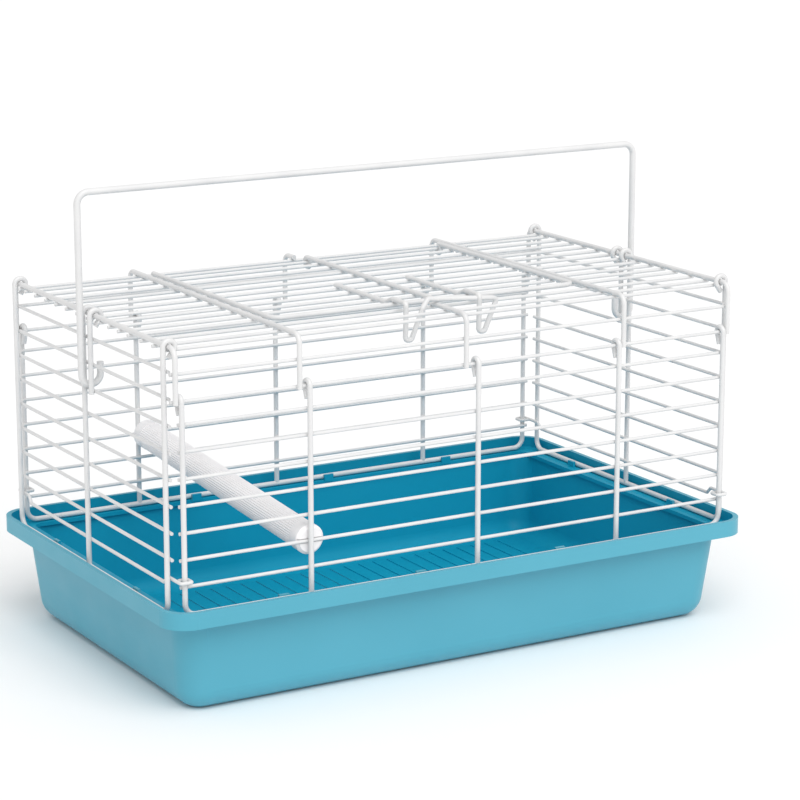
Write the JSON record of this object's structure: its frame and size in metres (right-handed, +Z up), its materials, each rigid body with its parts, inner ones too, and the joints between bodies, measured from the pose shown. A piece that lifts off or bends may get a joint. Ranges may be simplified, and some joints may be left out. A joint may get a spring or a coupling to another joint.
{
  "type": "poultry transport crate",
  "caption": "Small bird transport crate with a white wire cage on a teal plastic tray, a hinged roof hatch, a fold-down wire carrying handle and a snap-in perch.",
  "frame": {"origin": "centre of the tray's underside, on the surface the crate stands on", "axes": "+X along the crate's long side to its right, +Y to the back where the roof hatch is hinged, +Z up"},
  "size_m": [0.3624, 0.2288, 0.2618],
  "materials": {
    "tray_plastic": "semi-gloss teal moulding",
    "wire_coating": "satin white powder coat on steel wire",
    "perch_plastic": "satin white moulding"
  },
  "bodies": {
    "tray": {"tray": "tray_plastic"},
    "cage": {"back_frame": "wire_coating", "back_upright_left": "wire_coating", "back_upright_middle": "wire_coating", "back_upright_right": "wire_coating", "back_wires": "wire_coating", "edge_wires_back": "wire_coating", "edge_wires_front": "wire_coating", "front_frame": "wire_coating", "front_upright_left": "wire_coating", "front_upright_middle": "wire_coating", "front_upright_right": "wire_coating", "front_wires": "wire_coating", "left_frame": "wire_coating", "left_latch_wire": "wire_coating", "left_upright_long": "wire_coating", "left_upright_short": "wire_coating", "left_wires": "wire_coating", "right_frame": "wire_coating", "right_latch_wire": "wire_coating", "right_upright_long": "wire_coating", "right_upright_short": "wire_coating", "right_wires": "wire_coating", "roof_hoop_left": "wire_coating", "roof_hoop_right": "wire_coating", "roof_rail_left": "wire_coating", "roof_rail_right": "wire_coating", "roof_stub_back": "wire_coating", "roof_stub_front": "wire_coating", "roof_wires_back": "wire_coating", "roof_wires_front": "wire_coating", "roof_wires_left": "wire_coating", "roof_wires_right": "wire_coating"},
    "hatch": {"hatch_frame": "wire_coating", "hatch_middle_wire": "wire_coating", "hatch_wires": "wire_coating", "hatch_latch_wire": "wire_coating"},
    "handle": {"carry_handle": "wire_coating"},
    "perch": {"perch_tube": "perch_plastic", "perch_cap_front": "perch_plastic", "perch_cap_back": "perch_plastic"}
  },
  "joints": [
    {"name": "cage_lift", "type": "slide", "parent": "tray", "child": "cage", "axis": [0, 0, 1], "range_m": [0, 0.12]},
    {"name": "hatch_hinge", "type": "hinge", "parent": "cage", "child": "hatch", "pos_m": [0, 0.084, 0.19237], "axis": [-1, 0, 0], "range_deg": [0, 35]},
    {"name": "handle_fold", "type": "hinge", "parent": "cage", "child": "handle", "pos_m": [0, 0, 0.1571], "axis": [0.9999, 0.0113, 0], "range_deg": [-64, 64]},
    {"name": "perch_slide", "type": "slide", "parent": "cage", "child": "perch", "axis": [1, 0, 0], "range_m": [-0.066, 0.254]}
  ]
}
